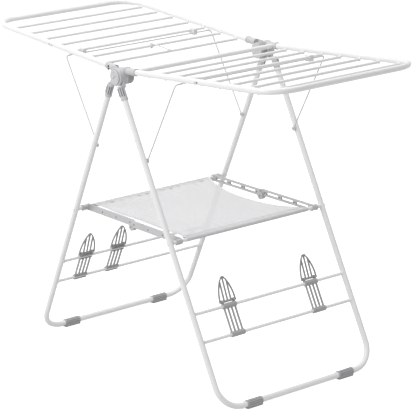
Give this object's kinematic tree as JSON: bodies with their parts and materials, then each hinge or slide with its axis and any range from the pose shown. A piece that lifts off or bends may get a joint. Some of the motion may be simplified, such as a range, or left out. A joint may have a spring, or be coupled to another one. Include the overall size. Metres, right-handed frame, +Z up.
{
  "type": "folding clothes drying rack",
  "caption": "Folding clothes drying rack with two rung wings on hinged legs, a cloth shelf and tilting shoe holders.",
  "frame": {"origin": "on the floor, under the middle of the rack", "axes": "+X from the rear leg frame to the front one, along the wings; +Y along the bars; +Z up"},
  "size_m": [1.269, 0.5368, 0.8877],
  "materials": {
    "white_enamel": "white powder coat, satin",
    "wire_steel": "thin white coated wire",
    "pin_steel": "zinc plated",
    "grey_plastic": "moulded light grey plastic",
    "holder_plastic": "moulded mid grey plastic",
    "white_plastic": "moulded white plastic",
    "foot_plastic": "moulded light grey plastic",
    "mesh_cloth": "white woven polyester mesh"
  },
  "bodies": {
    "rear_frame": {"hub_pin_far": "pin_steel", "hub_pin_near": "pin_steel", "rear_foot_pads": "foot_plastic", "rear_leg_frame": "white_enamel", "rear_lower_bar": "white_enamel", "rear_shelf_rod": "white_enamel", "rear_shoe_clips": "holder_plastic", "rear_socket_far": "grey_plastic", "rear_socket_near": "grey_plastic", "rear_stay_catches": "pin_steel", "rear_upper_bar": "white_enamel", "shelf_cloth": "mesh_cloth"},
    "front_frame": {"front_foot_pads": "foot_plastic", "front_leg_frame": "white_enamel", "front_lower_bar": "white_enamel", "front_shelf_rod": "white_enamel", "front_shoe_clips": "holder_plastic", "front_socket_far": "grey_plastic", "front_socket_near": "grey_plastic", "front_stay_catches": "pin_steel", "front_upper_bar": "white_enamel"},
    "left_wing": {"left_rung_1": "white_enamel", "left_rung_2": "white_enamel", "left_rung_3": "white_enamel", "left_rung_4": "white_enamel", "left_rung_5": "white_enamel", "left_rung_6": "white_enamel", "left_rung_7": "white_enamel", "left_socket_far": "grey_plastic", "left_socket_near": "grey_plastic", "left_stay_clips": "white_plastic", "left_stow_studs": "white_plastic", "left_wing_frame": "white_enamel"},
    "right_wing": {"right_inner_tube": "white_enamel", "right_rung_1": "white_enamel", "right_rung_2": "white_enamel", "right_rung_3": "white_enamel", "right_rung_4": "white_enamel", "right_rung_5": "white_enamel", "right_rung_6": "white_enamel", "right_rung_7": "white_enamel", "right_socket_far": "grey_plastic", "right_socket_near": "grey_plastic", "right_stay_clips": "white_plastic", "right_stow_studs": "white_plastic", "right_wing_frame": "white_enamel"},
    "left_stay_arm": {"left_stay": "wire_steel"},
    "right_stay_arm": {"right_stay": "wire_steel"},
    "latch": {"transport_latch": "wire_steel"},
    "rear_link_near_arm": {"rear_link_near": "grey_plastic"},
    "rear_link_far_arm": {"rear_link_far": "grey_plastic"},
    "front_link_near_arm": {"front_link_near": "grey_plastic"},
    "front_link_far_arm": {"front_link_far": "grey_plastic"},
    "rear_fin_near_tilt": {"rear_fin_near": "holder_plastic"},
    "rear_fin_far_tilt": {"rear_fin_far": "holder_plastic"},
    "front_fin_near_tilt": {"front_fin_near": "holder_plastic"},
    "front_fin_far_tilt": {"front_fin_far": "holder_plastic"}
  },
  "joints": [
    {"name": "leg_fold", "type": "hinge", "parent": "rear_frame", "child": "front_frame", "pos_m": [0, 0, 0.822], "axis": [0, 1, 0], "range_deg": [0, 47], "deforming": ["shelf_cloth"]},
    {"name": "left_wing_fold", "type": "hinge", "parent": "rear_frame", "child": "left_wing", "pos_m": [0, 0, 0.822], "axis": [0, -1, 0], "range_deg": [0, 61]},
    {"name": "right_wing_fold", "type": "hinge", "parent": "front_frame", "child": "right_wing", "pos_m": [0, 0, 0.822], "axis": [0, 1, 0], "range_deg": [0, 61]},
    {"name": "left_stay_fold", "type": "hinge", "parent": "left_wing", "child": "left_stay_arm", "pos_m": [-0.24732, 0, 0.84046], "axis": [0, 1, 0], "range_deg": [0, 121]},
    {"name": "right_stay_fold", "type": "hinge", "parent": "right_wing", "child": "right_stay_arm", "pos_m": [0.24732, 0, 0.84046], "axis": [0, -1, 0], "range_deg": [0, 121]},
    {"name": "latch_swing", "type": "hinge", "parent": "left_wing", "child": "latch", "pos_m": [-0.18203, 0, 0.84243], "axis": [0, 1, 0], "range_deg": [0, 150]},
    {"name": "rear_link_near_fold", "type": "hinge", "parent": "rear_frame", "child": "rear_link_near_arm", "pos_m": [-0.21636, 0, 0.41596], "axis": [0, -1, 0], "range_deg": [0, 59.5]},
    {"name": "front_link_near_fold", "type": "hinge", "parent": "front_frame", "child": "front_link_near_arm", "pos_m": [0.21636, 0, 0.41596], "axis": [0, 1, 0], "range_deg": [0, 59.5]},
    {"name": "rear_fin_near_tilt", "type": "hinge", "parent": "rear_frame", "child": "rear_fin_near_tilt", "pos_m": [-0.29879, 0, 0.25369], "axis": [0, -1, 0], "range_deg": [0, 30]},
    {"name": "front_fin_near_tilt", "type": "hinge", "parent": "front_frame", "child": "front_fin_near_tilt", "pos_m": [0.29879, 0, 0.25369], "axis": [0, 1, 0], "range_deg": [0, 30]},
    {"name": "rear_link_far_fold", "type": "hinge", "parent": "rear_frame", "child": "rear_link_far_arm", "pos_m": [-0.21636, 0, 0.41596], "axis": [0, -1, 0], "range_deg": [0, 59.5]},
    {"name": "front_link_far_fold", "type": "hinge", "parent": "front_frame", "child": "front_link_far_arm", "pos_m": [0.21636, 0, 0.41596], "axis": [0, 1, 0], "range_deg": [0, 59.5]},
    {"name": "rear_fin_far_tilt", "type": "hinge", "parent": "rear_frame", "child": "rear_fin_far_tilt", "pos_m": [-0.29879, 0, 0.25369], "axis": [0, -1, 0], "range_deg": [0, 30]},
    {"name": "front_fin_far_tilt", "type": "hinge", "parent": "front_frame", "child": "front_fin_far_tilt", "pos_m": [0.29879, 0, 0.25369], "axis": [0, 1, 0], "range_deg": [0, 30]}
  ],
  "couplings": [
    {"joint": "left_stay_fold", "follows": "left_wing_fold", "ratio": 1.9672},
    {"joint": "right_stay_fold", "follows": "right_wing_fold", "ratio": 1.9672},
    {"joint": "rear_link_near_fold", "follows": "leg_fold", "ratio": 1.2553},
    {"joint": "front_link_near_fold", "follows": "leg_fold", "ratio": 1.2553},
    {"joint": "rear_link_far_fold", "follows": "leg_fold", "ratio": 1.2553},
    {"joint": "front_link_far_fold", "follows": "leg_fold", "ratio": 1.2553}
  ]
}
